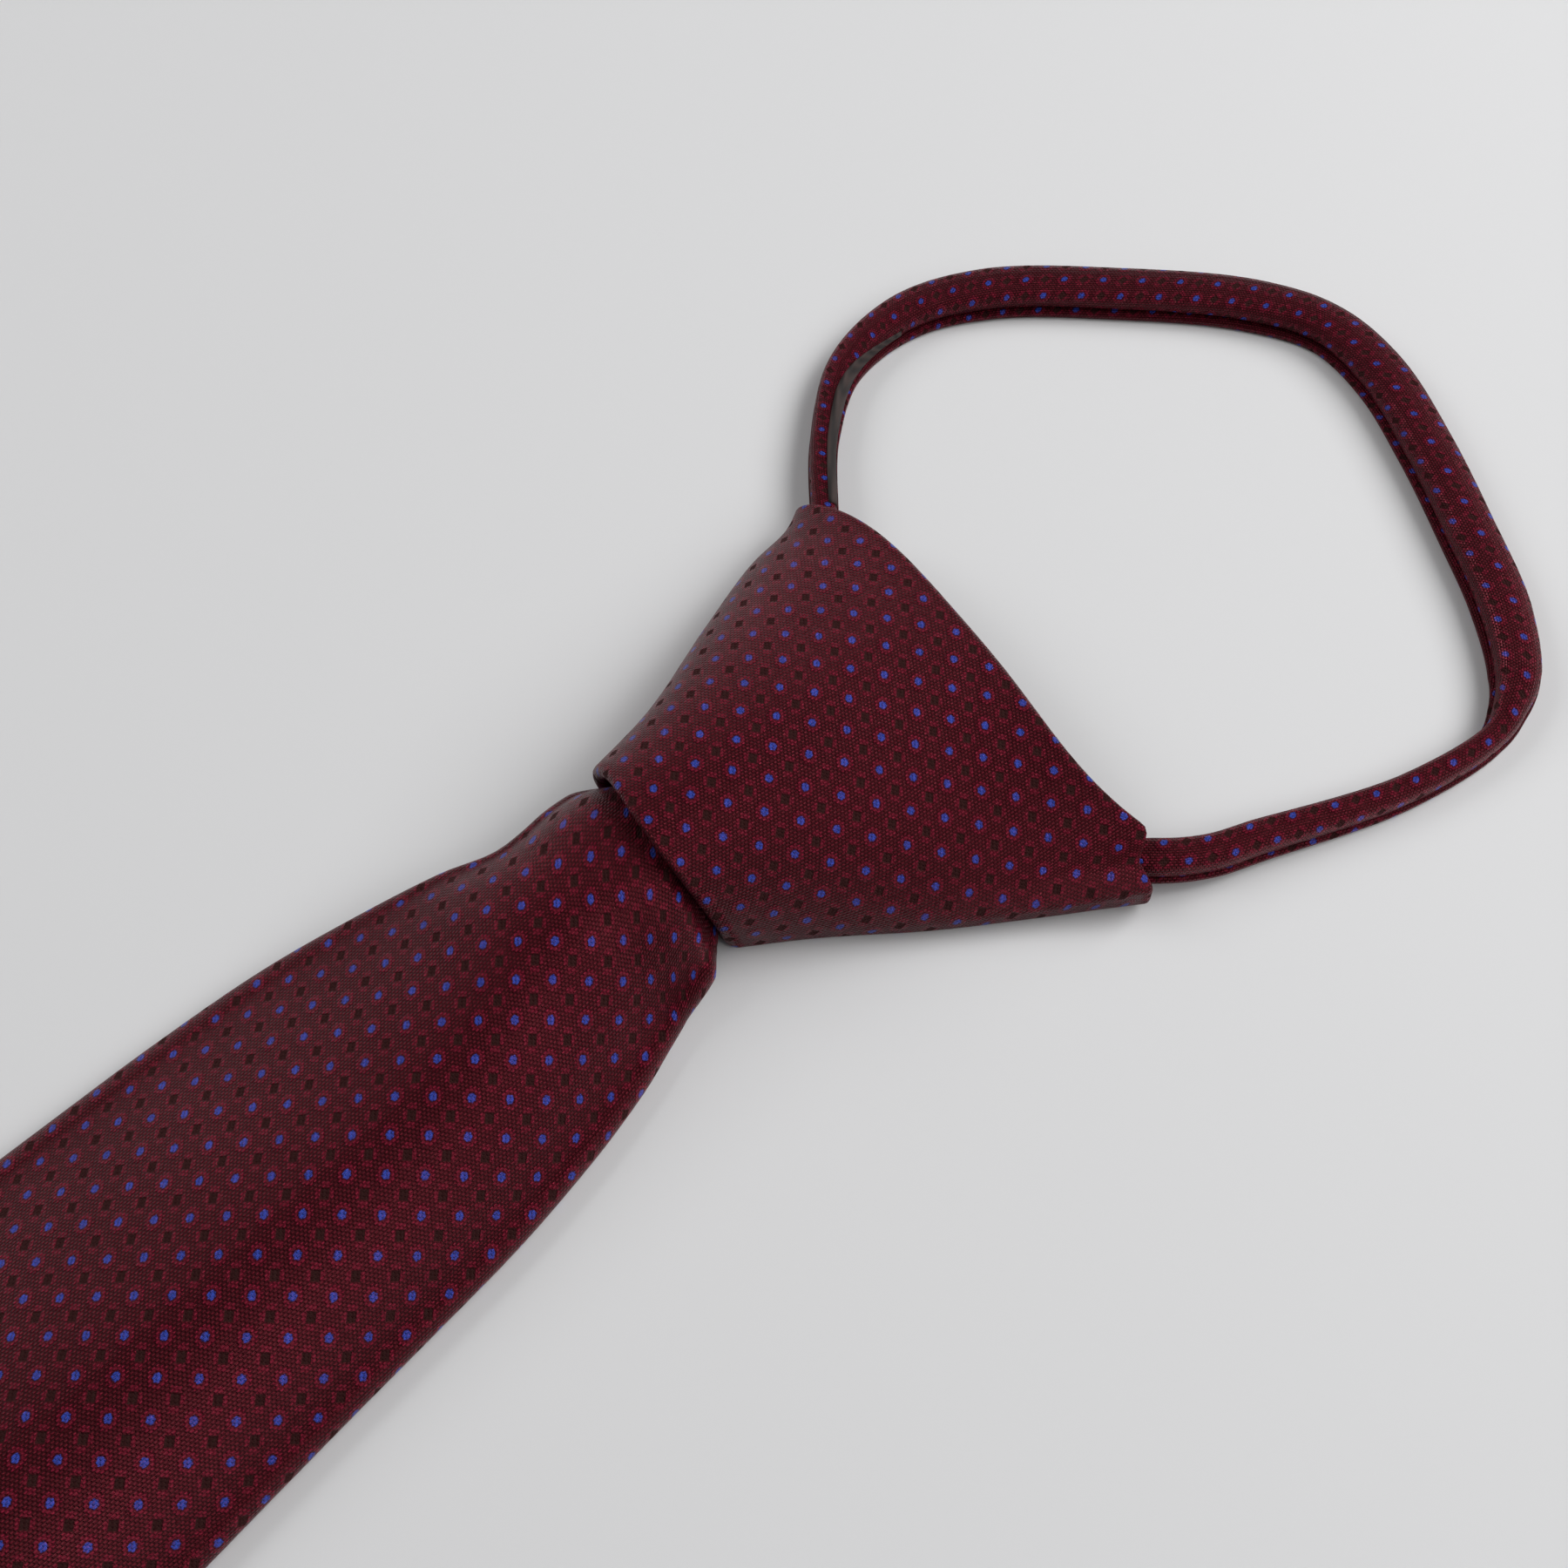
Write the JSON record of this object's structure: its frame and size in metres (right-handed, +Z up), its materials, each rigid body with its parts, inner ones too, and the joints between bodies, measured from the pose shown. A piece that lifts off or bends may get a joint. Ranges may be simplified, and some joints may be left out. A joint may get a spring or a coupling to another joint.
{
  "type": "zipper tie",
  "caption": "Pre-tied necktie with a fixed knot, a narrow neck loop drawn up by a hidden zip, and a pointed blade.",
  "frame": {"origin": "middle of the tie's box, on the surface it lies on", "axes": "+Y from the blade's point towards the neck loop, +Z up out of the tie's front face"},
  "size_m": [0.0946, 0.548, 0.0178],
  "materials": {
    "woven_cloth": "satin",
    "zip_tape": "matte"
  },
  "bodies": {
    "root": {"blade": "woven_cloth", "knot_wrap": "woven_cloth", "neck_band": "woven_cloth", "zip_closure": "zip_tape"}
  },
  "joints": []
}
